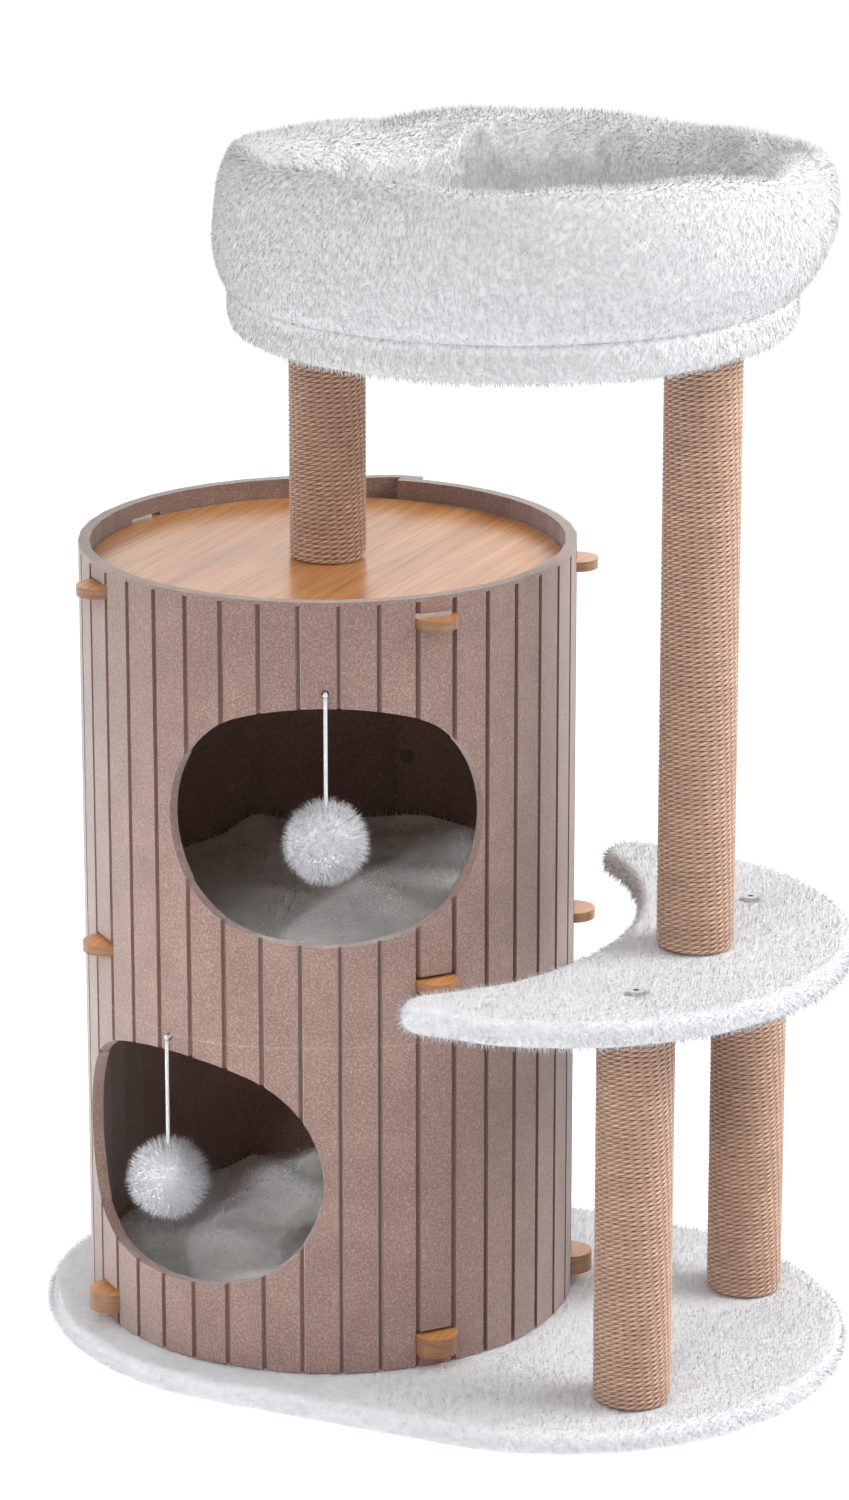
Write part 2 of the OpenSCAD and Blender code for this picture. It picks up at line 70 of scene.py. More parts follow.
def soft_box(name, place, aim, size, power, spread=180):
    """Square soft box at a place, turned to face its aim; spread is its beam's angle in degrees."""
    data = bpy.data.lights.new(name, "AREA")
    data.size = size
    data.energy = power
    data.spread = math.radians(spread)
    lamp = bpy.data.objects.new(name, data)
    lamp.location = place
    lamp.rotation_euler = (Vector(aim) - Vector(place)).to_track_quat("-Z", "Y").to_euler()
    lamp.visible_camera = False
    scene.collection.objects.link(lamp)


soft_box("right_soft_box", (2.4, 0.9, 2.4), aim=(0, 0, 0.45), size=1.8, power=86)
soft_box("left_soft_box", (-2.6, -0.3, 1.2), aim=(0, 0, 0.5), size=1.8, power=14)
soft_box("front_soft_box", (0.2, -2.7, 2.8), aim=(0, 0, 0.4), size=1.5, power=21)
soft_box("den_soft_box", (-0.7, -2.9, 1.75), aim=(-0.14, 0, 0.20), size=0.5, power=0.5, spread=12)
soft_box("back_soft_box", (-1.6, 4.2, 1.9), aim=(0, 0, 0.6), size=3.2, power=24)

world = bpy.data.worlds.new("studio")
world.use_nodes = True
world.node_tree.nodes["Background"].inputs["Color"].default_value = (1.0, 1.0, 1.0, 1)
world.node_tree.nodes["Background"].inputs["Strength"].default_value = 0.54
scene.world = world
scene.cycles.diffuse_bounces = 8


def add(tree, kind, inputs=None, **settings):
    """Adds a node: settings are its own choices, inputs are constants or the sockets that feed it."""
    node = tree.nodes.new(kind)
    for name, value in settings.items():
        setattr(node, name, value)
    for name, value in (inputs or {}).items():
        if isinstance(value, bpy.types.NodeSocket):
            tree.links.new(value, node.inputs[name])
        else:
            node.inputs[name].default_value = value
    return node


def new_material(name, **constants):
    """Material with one principled shader and its named sockets set; returns it, its tree and its shader."""
    material = bpy.data.materials.new(name)
    material.use_nodes = True
    shader = material.node_tree.nodes["Principled BSDF"]
    for socket, value in constants.items():
        shader.inputs[socket.replace("_", " ")].default_value = value
    return material, material.node_tree, shader


floor_reach = 30
floor_corners = [(-floor_reach, -floor_reach, 0), (floor_reach, -floor_reach, 0),
                 (floor_reach, floor_reach, 0), (-floor_reach, floor_reach, 0)]
floor_mesh = bpy.data.meshes.new("floor")
floor_mesh.from_pydata(floor_corners, [], [(0, 1, 2, 3)])
floor = bpy.data.objects.new("floor", floor_mesh)
scene.collection.objects.link(floor)
floor_mesh.materials.append(new_material("floor_white", Roughness=0.9, Base_Color=(0.42, 0.43, 0.45, 1),
                                         Emission_Color=(1, 1, 1, 1), Emission_Strength=0.76)[0])


# ---- Hanging toys ----
# An elastic cord comes through a hole above each doorway, is knotted inside and carries a pompom.
# The pompom is a tight white bundle of acrylic strands, trimmed to a ball round the end of the cord.

def ramp(tree, factor, stops):
    """Colour ramp through (place, colour) stops."""
    node = add(tree, "ShaderNodeValToRGB", {"Fac": factor})
    points = node.color_ramp.elements
    while len(points) < len(stops):
        points.new(0.5)
    for point, (place, colour) in zip(points, stops):
        point.position = place
        point.color = (*colour, 1)
    return node.outputs["Color"]


def here(tree, scale=(1, 1, 1), turn=0.0):
    """Object coordinates, stretched and then turned about Z."""
    spot = add(tree, "ShaderNodeTexCoord")
    return add(tree, "ShaderNodeMapping", {"Vector": spot.outputs["Object"], "Scale": scale,
                                           "Rotation": (0, 0, turn)}).outputs["Vector"]


def mottle(tree, scale, detail=3.0, stretch=(1, 1, 1), turn=0.0):
    """Noise with so many spots to a metre, from 0 to 1."""
    return add(tree, "ShaderNodeTexNoise", {"Vector": here(tree, stretch, turn), "Scale": scale,
                                            "Detail": detail}).outputs["Fac"]


def rough_up(tree, shader, height, depth):
    """Bump on a shader, from a height of 0 to 1 that stands for so many metres."""
    bump = add(tree, "ShaderNodeBump", {"Height": height, "Distance": depth, "Strength": 1.0})
    tree.links.new(bump.outputs["Normal"], shader.inputs["Normal"])


def colour_with(tree, shader, tone):
    """Feeds a colour to a shader."""
    tree.links.new(tone, shader.inputs["Base Color"])


def maths(tree, how, *values):
    """One step of arithmetic on numbers."""
    return add(tree, "ShaderNodeMath", dict(enumerate(values)), operation=how).outputs[0]


def vectors(tree, how, *values):
    """One step of arithmetic on vectors."""
    return add(tree, "ShaderNodeVectorMath", dict(enumerate(values)), operation=how).outputs[0]


def scaled(tree, vector, share):
    """A vector times a number."""
    return add(tree, "ShaderNodeVectorMath", {0: vector, "Scale": share}, operation="SCALE").outputs[0]


def paint_nodes(material, *names):
    """Gives CAD nodes one finish."""
    for name in names:
        frame["nodes"][name].data.materials.clear()
        frame["nodes"][name].data.materials.append(material)


def new_piece(name, points, faces, *materials):
    """Smooth mesh object at the origin."""
    mesh = bpy.data.meshes.new(name)
    mesh.from_pydata(points, [], faces)
    mesh.update()
    mesh.shade_smooth()
    piece = bpy.data.objects.new(name, mesh)
    scene.collection.objects.link(piece)
    for material in materials:
        mesh.materials.append(material)
    return piece


def settle(piece):
    """Turns what a piece's modifiers make into its own plain mesh."""
    graph = bpy.context.evaluated_depsgraph_get()
    made = bpy.data.meshes.new_from_object(piece.evaluated_get(graph))
    for index in reversed(range(len(made.materials))):
        if made.materials[index] is None:
            made.materials.pop(index=index)
    piece.modifiers.clear()
    piece.data = made


def run_tree(piece, tree, **values):
    """Runs a node tree on a piece with its named inputs set, and keeps the mesh that it makes."""
    modifier = piece.modifiers.new(tree.name, "NODES")
    modifier.node_group = tree
    sockets = {s.name: s.identifier for s in tree.interface.items_tree if s.in_out == "INPUT"}
    for name, value in values.items():
        modifier[sockets[name.replace("_", " ")]] = value
    settle(piece)


def new_tree(name, inputs):
    """Geometry tree with the given inputs; returns it and its group input node."""
    tree = bpy.data.node_groups.new(name, "GeometryNodeTree")
    tree.interface.new_socket("Geometry", in_out="OUTPUT", socket_type="NodeSocketGeometry")
    for label, kind in inputs:
        tree.interface.new_socket(label, in_out="INPUT", socket_type="NodeSocket" + kind)
    return tree, add(tree, "NodeGroupInput").outputs


def close_tree(tree, result, material):
    """Ends a geometry tree in its material and its output."""
    painted = add(tree, "GeometryNodeSetMaterial", {"Geometry": result, "Material": material})
    add(tree, "NodeGroupOutput", {"Geometry": painted.outputs["Geometry"]})


def pile_hairs():
    """Tree that grows hairs out of a cloth: closed three-sided tapers that lean with the lie of the pile.
    The cloth's own 'pile' says how dense they stand and 'reach' how long they are, as shares."""
    tree, given = new_tree("pile_hairs", [
        ("Cloth", "Geometry"), ("Hairs", "Float"), ("Length", "Float"), ("Width", "Float"), ("Curl", "Float"),
        ("Bends", "Int"), ("Mess", "Float"), ("Lie", "Float"), ("Lie size", "Float"), ("Droop", "Float"),
        ("Seed", "Int"), ("Finish", "Material")])
    thick = add(tree, "GeometryNodeInputNamedAttribute", {"Name": "pile"}, data_type="FLOAT")
    reach = add(tree, "GeometryNodeInputNamedAttribute", {"Name": "reach"}, data_type="FLOAT")
    root = add(tree, "GeometryNodeInputNamedAttribute", {"Name": "root"}, data_type="FLOAT_VECTOR")
    roots = add(tree, "GeometryNodeDistributePointsOnFaces",
                {"Mesh": given["Cloth"], "Seed": given["Seed"],
                 "Density": maths(tree, "MULTIPLY", thick.outputs["Attribute"], given["Hairs"])})
    upright = roots.outputs["Normal"]
    place = add(tree, "GeometryNodeInputPosition").outputs[0]

    # Which way each hair goes: out of the cloth, with the lie of the pile, a little astray, and down
    swirl = add(tree, "ShaderNodeTexNoise", {"Vector": place, "Scale": given["Lie size"], "Detail": 2.0})
    lie = scaled(tree, vectors(tree, "SUBTRACT", swirl.outputs["Color"], (0.5, 0.5, 0.5)), given["Lie"])
    stray = add(tree, "FunctionNodeRandomValue", {0: (-1, -1, -1), 1: (1, 1, 1), "Seed": given["Seed"]},
                data_type="FLOAT_VECTOR")
    stray = scaled(tree, stray.outputs[0], given["Mess"])
    # The pile droops along the cloth, never into it
    fall = scaled(tree, (0, 0, -1), given["Droop"])
    fall = vectors(tree, "SUBTRACT", fall, vectors(tree, "PROJECT", fall, upright))
    way = vectors(tree, "ADD", vectors(tree, "ADD", vectors(tree, "ADD", upright, lie), stray), fall)
    spin = add(tree, "FunctionNodeRandomValue", {0: (0, 0, 0), 1: (0, 0, 6.283), "Seed": 3},
               data_type="FLOAT_VECTOR")
    spin = add(tree, "FunctionNodeEulerToRotation", {"Euler": spin.outputs[0]})
    turned = add(tree, "FunctionNodeAlignRotationToVector",
                 {"Rotation": spin.outputs[0], "Vector": way}, axis="Z")
    size = add(tree, "FunctionNodeRandomValue", {2: 0.65, 3: 1.1, "Seed": 5}, data_type="FLOAT")
    size = maths(tree, "MULTIPLY", size.outputs[1], reach.outputs["Attribute"])

    # One hair: a taper that bends over towards its tip, rooted a little below the cloth
    hair = add(tree, "GeometryNodeMeshCone",
               {"Vertices": 3, "Side Segments": given["Bends"], "Radius Top": 0.0,
                "Radius Bottom": given["Width"], "Depth": given["Length"]})
    height = add(tree, "ShaderNodeSeparateXYZ", {0: place}).outputs["Z"]
    along = maths(tree, "DIVIDE", height, given["Length"])
    bent = maths(tree, "MULTIPLY", maths(tree, "POWER", along, 2.0), given["Curl"])
    sunk = add(tree, "ShaderNodeCombineXYZ", {"X": bent, "Z": -0.0004})
    hair = add(tree, "GeometryNodeSetPosition", {"Geometry": hair.outputs["Mesh"], "Offset": sunk.outputs[0]})
    hair = add(tree, "GeometryNodeSetShadeSmooth", {"Geometry": hair.outputs["Geometry"]})
    rooted = add(tree, "GeometryNodeStoreNamedAttribute",
                 {"Geometry": roots.outputs["Points"], "Name": "root", "Value": upright},
                 data_type="FLOAT_VECTOR")
    grown = add(tree, "GeometryNodeInstanceOnPoints",
                {"Points": rooted.outputs["Geometry"], "Instance": hair.outputs["Geometry"],
                 "Rotation": turned.outputs[0], "Scale": size})
    grown = add(tree, "GeometryNodeRealizeInstances", {"Geometry": grown.outputs["Instances"]})
    both = add(tree, "GeometryNodeJoinGeometry", {"Geometry": grown.outputs["Geometry"]})
    tree.links.new(given["Cloth"], both.inputs["Geometry"])

    # Fine hairs pass light on, so they are shaded mostly as the cloth that they stand on
    own = add(tree, "GeometryNodeInputNormal").outputs["Normal"]
    blend = vectors(tree, "ADD", scaled(tree, root.outputs["Attribute"], 5.0), own)
    blend = vectors(tree, "NORMALIZE", blend)
    lit = add(tree, "GeometryNodeSetMeshNormal", {"Mesh": both.outputs["Geometry"], "Custom Normal": blend},
              mode="FREE", domain="POINT")
    close_tree(tree, lit.outputs["Mesh"], given["Finish"])
    return tree


def set_pile(piece, pile, reach=lambda place, normal: 1.0):
    """Writes how dense and how long the pile stands at each point of a cloth."""
    mesh = piece.data
    for name, share in (("pile", pile), ("reach", reach)):
        layer = mesh.attributes.new(name, "FLOAT", "POINT")
        layer.data.foreach_set("value", [share(v.co, v.normal) for v in mesh.vertices])


def white_pile(name, colour, shade, spots, tuft=0.0008):
    """White pile cloth: mottled from its colour to a slightly greyer tone in so many spots to a metre, with
    tufts that stand so high and a soft sheen.
    """
    material, tree, shader = new_material(name, Roughness=0.95, Sheen_Weight=0.25, Sheen_Roughness=0.6,
                                          Specular_IOR_Level=0.15)
    colour_with(tree, shader, ramp(tree, mottle(tree, spots, 4.0), [(0.35, shade), (0.6, colour)]))
    rough_up(tree, shader, mottle(tree, 420.0, 3.0), tuft)
    return material


pile_tree = pile_hairs()
strand_white = white_pile("pompom_strands", (0.93, 0.93, 0.965), (0.87, 0.87, 0.93), 220.0)
strand_length = 0.012
pompom_lumps = 0.05

cord_paint, cord_tree, cord_shader = new_material("elastic_cord", Roughness=0.7, Sheen_Weight=0.2)
braid = add(cord_tree, "ShaderNodeTexWave", {"Vector": here(cord_tree), "Scale": 330.0, "Distortion": 1.5},
            bands_direction="Z").outputs["Fac"]
colour_with(cord_tree, cord_shader,
            ramp(cord_tree, braid, [(0.2, (0.66, 0.66, 0.68)), (0.6, (0.86, 0.86, 0.87))]))
rough_up(cord_tree, cord_shader, braid, 0.0002)

cord_diameter = 0.003
# Drop of each point of the hanging cord below its hole; it ends in the middle of the pompom
cord_drops = [0.0024, 0.010, 0.020, 0.030, 0.040, 0.050, 0.060, 0.070, 0.080, 0.090, 0.100, 0.110, 0.119]


def hanging_tube(name, path, radius, sides, material):
    """Round tube down a hanging path, closed at both ends."""
    points = []
    for spot in path:
        for k in range(sides):
            turn = 2 * math.pi * k / sides
            points.append((spot.x + radius * math.cos(turn), spot.y + radius * math.sin(turn), spot.z))
    faces = []
    for i in range(len(path) - 1):
        for k in range(sides):
            a, b = i * sides + k, i * sides + (k + 1) % sides
            faces.append((a, a + sides, b + sides, b))
    faces.append(tuple(range(sides)))
    faces.append(tuple(reversed(range((len(path) - 1) * sides, len(path) * sides))))
    return new_piece(name, points, faces, material)


for toy in ("lower_toy", "upper_toy"):
    swing = next(j for j in frame["joints"] if j["name"] == toy + "_swing")
    pivot = Vector(swing["pos_m"])
    path = [pivot - Vector((0, 0, drop)) for drop in cord_drops]
    low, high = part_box(toy + "_pompom")
    middle, radius = (low + high) / 2, (high.z - low.z) / 2

    ball = bmesh.new()
    bmesh.ops.create_icosphere(ball, subdivisions=4, radius=radius - strand_length * 0.75)
    for vert in ball.verts:
        vert.co *= 1 + pompom_lumps * noise.noise(vert.co * 60 + pivot * 9)
        vert.co += middle
    pompom_mesh = bpy.data.meshes.new(toy + "_pompom_ball")
    ball.to_mesh(pompom_mesh)
    ball.free()
    pompom = bpy.data.objects.new(toy + "_pompom_ball", pompom_mesh)
    scene.collection.objects.link(pompom)
    set_pile(pompom, lambda place, normal: 1.0)
    run_tree(pompom, pile_tree, Hairs=640000.0, Length=strand_length, Width=0.0003, Curl=0.0025, Bends=2,
             Mess=0.28, Lie=0.9, Lie_size=120.0, Droop=0.05, Seed=4, Finish=strand_white)
    pompom.data.shade_smooth()
    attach(pompom, toy)
    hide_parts(toy + "_pompom")

    cord = hanging_tube(toy + "_elastic", path, cord_diameter / 2, sides=12, material=cord_paint)
    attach(cord, toy)
    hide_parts(toy + "_cord")
    paint_nodes(cord_paint, toy + "_knot")


# ---- Base ----
# A particle board with two round ends, drilled for the posts and the den.
# White short-pile plush is drawn over it, glued, turned under the edge and stapled there.

particle_board, board_tree, board_shader = new_material("particle_board", Roughness=0.85)
chips = ramp(board_tree, mottle(board_tree, 260.0, 5.0),
             [(0.3, (0.36, 0.24, 0.13)), (0.55, (0.58, 0.42, 0.25)), (0.75, (0.70, 0.55, 0.36))])
colour_with(board_tree, board_shader, chips)
rough_up(board_tree, board_shader, mottle(board_tree, 700.0, 2.0), 0.0004)
paint_nodes(particle_board, "base_board", "step_board", "bed_board")

plush_white = white_pile("short_plush", (0.86, 0.87, 0.89), (0.79, 0.80, 0.825), 130.0)


def around(radius, turn):
    """Point on a circle; turn 0 faces -Y and grows towards +X, in degrees."""
    return Vector((radius * math.sin(math.radians(turn)), -radius * math.cos(math.radians(turn))))


def arc(centre, radius, start, stop, step):
    """Points of an arc from start to stop turns, about so far apart."""
    count = max(6, round(abs(math.radians(stop - start)) * radius / step))
    return [Vector(centre) + around(radius, start + (stop - start) * i / count) for i in range(count + 1)]


def evenly(outline, step):
    """The same closed outline with points evenly apart."""
    closed = outline + [outline[0]]
    runs = [(b - a).length for a, b in zip(closed, closed[1:])]
    count = round(sum(runs) / step)
    spots, i, gone = [], 0, 0.0
    for k in range(count):
        want = sum(runs) * k / count
        while gone + runs[i] < want:
            gone += runs[i]
            i += 1
        share = (want - gone) / runs[i] if runs[i] else 0
        spots.append(closed[i].lerp(closed[i + 1], share))
    return spots


def inside(spot, outline):
    """Whether a point lies in a closed outline."""
    found = False
    for a, b in zip(outline, outline[1:] + outline[:1]):
        if (a.y > spot.y) != (b.y > spot.y):
            if spot.x < (b.x - a.x) * (spot.y - a.y) / (b.y - a.y) + a.x:
                found = not found
    return found


def sheet_mesh(rim, spacing, clear, holes=()):
    """Flat triangles over an outline, with even points inside and round holes (centre, radius) left open."""
    points = list(rim)
    edges = [(i, (i + 1) % len(rim)) for i in range(len(rim))]
    sides = 20
    for centre, radius in holes:
        first = len(points)
        points += [Vector(centre) + around(radius, 360 * k / sides) for k in range(sides)]
        edges += [(first + k, first + (k + 1) % sides) for k in range(sides)]
    low_x, high_x = min(p.x for p in rim), max(p.x for p in rim)
    low_y, high_y = min(p.y for p in rim), max(p.y for p in rim)
    # Every other row is shifted by half a space, which makes the triangles even
    row, y = 0, low_y + spacing / 2
    while y < high_y:
        x = low_x + spacing * (0.5 if row % 2 else 1.0)
        while x < high_x:
            spot = Vector((x, y))
            far = all((spot - p).length_squared > clear * clear for p in rim)
            free = all((spot - Vector(c)).length > r + spacing * 0.5 for c, r in holes)
            if far and free and inside(spot, rim):
                points.append(spot)
            x += spacing
        y += spacing * 0.866
        row += 1
    made = geometry.delaunay_2d_cdt(points, edges, [], 1, 1e-6)
    spots, faces = made[0], made[2]
    kept = []
    for face in faces:
        middle = sum((spots[i] for i in face), Vector((0, 0))) / 3
        if all((middle - Vector(c)).length > r * 0.98 for c, r in holes):
            kept.append(tuple(face))
    return spots, kept


def covered_board(name, outline, top, bottom, edge, foot, spacing, closed, holes=(), sag=0.0):
    """Cloth over a board: a flat top, a rounded side all round, and an underside that is closed or turned in.
    outline(inset) gives the board's outline, set in; edge and foot are the radii of its upper and lower
    edges, spacing is how far apart its points are, and sag is how deep the cloth dips at the holes."""
    steps = 5
    insets = [edge * (1 - math.cos(math.pi / 2 * i / steps)) for i in range(steps + 1)]
    drops = [edge * (1 - math.sin(math.pi / 2 * i / steps)) for i in range(steps + 1)]
    rim = evenly(outline(0), spacing * 0.7)
    # Each ring keeps the rim's own points, pulled in along the outline's normals
    normals = []
    for i, spot in enumerate(rim):
        ahead = rim[(i + 1) % len(rim)] - rim[i - 1]
        normals.append(Vector((ahead.y, -ahead.x)).normalized())
    turned_in = [] if closed else [(0.022, bottom), (0.012, bottom)]
    rings = turned_in + [(inset * foot / edge, bottom + drop * foot / edge)
                         for inset, drop in list(zip(insets, drops))[::-1]]
    rings += [(inset, top - drop) for inset, drop in zip(insets, drops)]
    points, faces, walls = [], [], []
    for inset, height in rings:
        walls.append(len(points))
        points += [Vector((p.x - n.x * inset, p.y - n.y * inset, height)) for p, n in zip(rim, normals)]
    count = len(rim)
    for low, high in zip(walls, walls[1:]):
        for i in range(count):
            j = (i + 1) % count
            faces.append((low + i, low + j, high + j, high + i))
    for first, height, up in ([(walls[-1], top, True)] + ([(walls[0], bottom, False)] if closed else [])):
        border = [points[first + i].to_2d() for i in range(count)]
        spots, triangles = sheet_mesh(border, spacing, spacing * 0.6, holes if up else ())
        index = []
        for k, spot in enumerate(spots):
            if k < count:
                index.append(first + k)
            else:
                index.append(len(points))
                points.append(Vector((spot.x, spot.y, height)))
        for a, b, c in triangles:
            wound = (spots[b] - spots[a]).cross(spots[c] - spots[a]) > 0
            loop = (a, b, c) if wound == up else (a, c, b)
            faces.append(tuple(index[k] for k in loop))
    for spot in points:
        waves = noise.noise(spot * 22) * 0.0010 + noise.noise(spot * 70 + Vector((3, 1, 7))) * 0.0006
        for centre, radius in holes:
            away = (spot.to_2d() - Vector(centre)).length - radius
            if spot.z > (top + bottom) / 2:
                waves -= sag * math.exp(-(max(away, 0) / 0.009) ** 2)
        spot.z += waves if spot.z > bottom + 0.0005 or closed else 0
    return new_piece(name, points, faces)


def thicken(piece, thickness):
    """Gives a cloth its thickness, inwards."""
    solid = piece.modifiers.new("thickness", "SOLIDIFY")
    solid.thickness = thickness
    solid.offset = -1
    settle(piece)


base_low, base_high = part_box("base_plush")
end_radius = (base_high.y - base_low.y) / 2
span = base_high.x - base_low.x - 2 * end_radius
den_low, den_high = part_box("bottom_mat")
den_x = (den_low.x + den_high.x) / 2
den_radius = 0.200
cloth_thickness = 0.0025
# Depth that the pile of the base, the step and the bed takes up inside their outlines
pile_room = 0.0015
# Distance between the points of an outline, and between those of a small round
outline_step = 0.004
small_step = 0.003


def base_outline(inset):
    """The base's outline: two round ends joined by straight sides."""
    radius = end_radius - inset
    right_end = arc((span / 2, 0), radius, 0, 180, outline_step)
    return right_end + arc((-span / 2, 0), radius, 180, 360, outline_step)


def base_pile(place, normal):
    """Pile stands on what shows: not under the den, and not beneath the board."""
    under_den = (place.to_2d() - Vector((den_x, 0))).length < den_radius - 0.012
    return 0.0 if under_den or normal.z < -0.3 or place.z < 0.0006 else 1.0


def base_reach(place, normal):
    """The pile is brushed flat on top, hangs long at the side and is rubbed short at the floor."""
    side = min(1.15, 0.2 + place.z / 0.0055)
    return 0.8 if normal.z > 0.7 else side


base_skin = covered_board("base_cover", base_outline, top=base_high.z - pile_room, bottom=base_low.z - 0.0005,
                          edge=0.0075, foot=0.0035, spacing=0.008, closed=False)
thicken(base_skin, cloth_thickness)
set_pile(base_skin, base_pile, base_reach)
run_tree(base_skin, pile_tree, Hairs=172000.0, Length=0.0062, Width=0.00036, Curl=0.0015, Bends=1,
         Mess=0.34, Lie=1.0, Lie_size=24.0, Droop=0.5, Seed=11, Finish=plush_white)
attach(base_skin, "tree")
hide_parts("base_plush")


# ---- Den boards ----
# Three round boards of oak veneer, whose rounded tabs come out through slots in the felt and hold it up.
# Three small bolts with spacers hold the lowest board on the base; plush mats lie on the two floors.

def mix(tree, share, first, second, how="MIX"):
    """Two colours in one, with so much of the second."""
    return add(tree, "ShaderNodeMix", {"Factor": share, 6: first, 7: second},
               data_type="RGBA", blend_type=how).outputs[2]


def two_tone(name, spots, dark, light, detail=3.0, stretch=(1, 1, 1), **constants):
    """Plain finish that goes from dark to light in so many spots to a metre."""
    material, tree, shader = new_material(name, **constants)
    colour_with(tree, shader, ramp(tree, mottle(tree, spots, detail, stretch), [(0.3, dark), (0.7, light)]))
    return material, tree, shader


oak, oak_tree, oak_shader = new_material("oak_veneer", Roughness=0.36, Coat_Weight=0.5, Coat_Roughness=0.22)
den_turn = math.radians(4.8)
grain = mottle(oak_tree, 42.0, 6.0, (1.0, 0.035, 0.3), -den_turn)
fine_grain = mottle(oak_tree, 520.0, 3.0, (1.0, 0.022, 0.1), -den_turn)
board_tone = ramp(oak_tree, grain, [(0.28, (0.50, 0.19, 0.055)), (0.46, (0.64, 0.27, 0.080)),
                                    (0.62, (0.72, 0.36, 0.130)), (0.8, (0.66, 0.31, 0.105))])
line_tone = ramp(oak_tree, fine_grain, [(0.36, (0.62, 0.55, 0.50)), (0.52, (1.0, 1.0, 1.0))])
face_tone = mix(oak_tree, 0.75, board_tone, line_tone, "MULTIPLY")
layers = ramp(oak_tree, mottle(oak_tree, 300.0, 3.0, (0.2, 0.2, 1.6)),
              [(0.32, (0.21, 0.095, 0.042)), (0.6, (0.30, 0.145, 0.065))])
# The veneer is on the flat faces only; the rims show the board's layers
facing = add(oak_tree, "ShaderNodeNewGeometry")
upward = add(oak_tree, "ShaderNodeSeparateXYZ", {0: facing.outputs["Normal"]})
level = maths(oak_tree, "GREATER_THAN", maths(oak_tree, "ABSOLUTE", upward.outputs["Z"]), 0.6)
colour_with(oak_tree, oak_shader, mix(oak_tree, level, layers, face_tone))
rough_up(oak_tree, oak_shader, fine_grain, 0.00012)
paint_nodes(oak, "bottom_board", "middle_board", "top_board")

turned_wood = two_tone("turned_beech", 400.0, (0.50, 0.34, 0.20), (0.66, 0.48, 0.30), 4.0, (1, 1, 0.1),
                       Roughness=0.6)[0]
paint_nodes(turned_wood, "den_spacers", "post_plugs")

steel, steel_tree, steel_shader = two_tone("zinc_plated_steel", 300.0, (0.50, 0.52, 0.54), (0.66, 0.67, 0.69),
                                           Metallic=1.0, Roughness=0.32)
rough_up(steel_tree, steel_shader, mottle(steel_tree, 2200.0, 2.0), 0.00004)
paint_nodes(steel, "den_bolts", "base_bolts", "step_bolts", "tall_post_bolt", "den_post_bolt", "bed_bolts",
            "bolt_washers")

mat_white = white_pile("mat_plush", (0.93, 0.93, 0.92), (0.84, 0.83, 0.82), 60.0)
climb_start = 0.115
climb_height = 0.030
for floor_name, seed in (("bottom_mat", 21), ("middle_mat", 22)):
    mat_low, mat_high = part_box(floor_name)
    mat_radius = (mat_high.x - mat_low.x) / 2

    def mat_outline(inset):
        """The mat's outline: a circle cut by hand, so it is a little uneven."""
        spots = []
        for spot in arc((0, 0), mat_radius - inset - 0.0025, 0, 360, 0.006)[:-1]:
            cut = 1 + 0.006 * noise.noise(spot.to_3d() * 14 + Vector((seed, 0, 0)))
            spots.append(Vector((den_x, 0)) + spot * cut)
        return spots

    mat = covered_board(floor_name + "_rug", mat_outline, top=mat_high.z - 0.002, bottom=mat_low.z + 0.0005,
                        edge=0.0018, foot=0.0018, spacing=0.009, closed=True)
    # The mat lies loose: it is rumpled, has one fold, and climbs the wall behind
    for vert in mat.data.vertices:
        spot = vert.co.to_2d() - Vector((den_x, 0))
        rumple = max(0.0, noise.noise(Vector((spot.x * 11, spot.y * 17, seed)))) * 0.012
        fold = math.exp(-(((spot.x * 0.5 + spot.y * 0.86 - 0.045) / 0.02) ** 2)) * 0.012
        behind = max(0.0, (spot.y + 0.3 * spot.x) / mat_radius)
        climb = climb_height * max(0.0, (spot.length - climb_start) / (mat_radius - climb_start)) ** 2
        uneven = 0.6 + noise.noise(Vector((spot.x * 12, spot.y * 12, seed)))
        vert.co.z += rumple + fold * max(0.0, 0.6 - spot.x * 3) + climb * behind * uneven
    set_pile(mat, lambda place, normal: 1.0 if normal.z > 0 else 0.0)
    run_tree(mat, pile_tree, Hairs=140000.0, Length=0.0075, Width=0.00045, Curl=0.002, Bends=1,
             Mess=0.5, Lie=1.6, Lie_size=22.0, Droop=0.0, Seed=seed, Finish=mat_white)
    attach(mat, "tree")
    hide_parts(floor_name)


# ---- Felt wall ----
# One sheet of thick pressed felt, grooved so that it rolls into a barrel, with both doorways cut out.
# Its ends lap at the back and are riveted; the groove floors are painted dark, as painted shade.

def felt(name, lift):
    """Pressed felt: short fibres in lighter and darker flecks, with painted shade on the groove floors; lift
    lightens it.
    """
    material, tree, shader = new_material(name, Roughness=0.85, Sheen_Weight=0.9, Sheen_Roughness=0.42,
                                          Specular_IOR_Level=0.3)
    tones = [(0.32, (0.235, 0.146, 0.121)), (0.52, (0.305, 0.199, 0.168)), (0.70, (0.420, 0.303, 0.264))]
    fleck = ramp(tree, mottle(tree, 620.0, 5.0), [(at, [part * lift for part in tone]) for at, tone in tones])
    cloud = ramp(tree, mottle(tree, 24.0, 3.0), [(0.3, (0.90, 0.89, 0.88)), (0.7, (1.06, 1.06, 1.06))])
    groove_shade = add(tree, "ShaderNodeAttribute", attribute_name="groove").outputs["Fac"]
    # The groove floors are painted dark brown: painted shade in the recesses
    colour = mix(tree, groove_shade, mix(tree, 1.0, fleck, cloud, "MULTIPLY"), (0.20, 0.11, 0.085, 1))
    wander = maths(tree, "MULTIPLY", mottle(tree, 9.0, 2.0), crease_wander)
    height = maths(tree, "ADD", add(tree, "ShaderNodeSeparateXYZ", {0: here(tree)}).outputs["Z"], wander)
    crease = maths(tree, "COMPARE", height, crease_z + crease_wander / 2, crease_width)
    colour_with(tree, shader, mix(tree, crease, colour, (0.06, 0.055, 0.05, 1), "SCREEN"))
    rough_up(tree, shader, mottle(tree, 900.0, 4.0), 0.0008)
    return material


